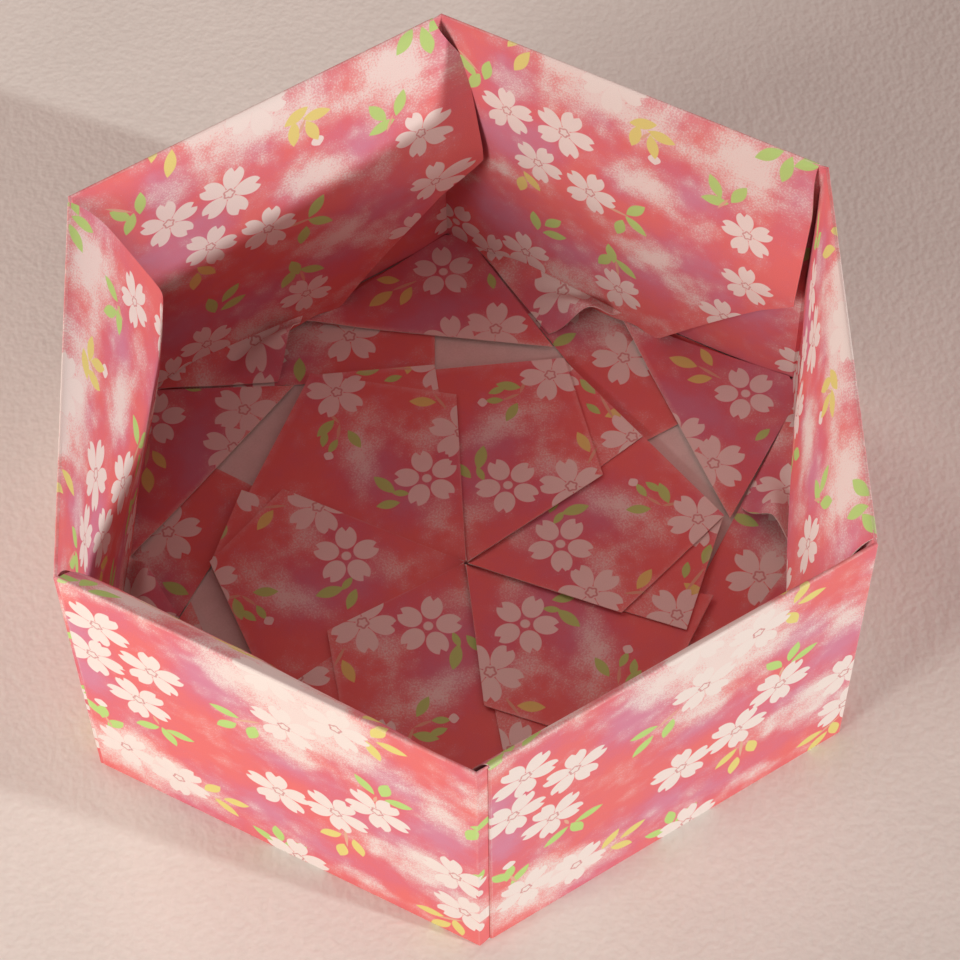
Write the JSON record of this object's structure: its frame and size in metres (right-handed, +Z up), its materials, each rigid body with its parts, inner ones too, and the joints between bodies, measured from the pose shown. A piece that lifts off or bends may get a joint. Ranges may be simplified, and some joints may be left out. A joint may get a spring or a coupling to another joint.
{
  "type": "hexagonal folded paper box",
  "caption": "Open hexagonal box of folded printed paper units that tuck into each other, with leaning inner flaps and a pinwheel floor, for small things.",
  "frame": {"origin": "middle of the hexagonal base, on the surface that the box stands on", "axes": "+Z up out of the open mouth, +Y towards the back corner, +X towards the right wall"},
  "size_m": [0.075, 0.0866, 0.0375],
  "materials": {
    "printed_paper": "matte"
  },
  "bodies": {
    "root": {"folded_unit_back_right": "printed_paper", "folded_unit_right": "printed_paper", "folded_unit_front_right": "printed_paper", "folded_unit_front_left": "printed_paper", "folded_unit_left": "printed_paper", "folded_unit_back_left": "printed_paper"}
  },
  "joints": []
}
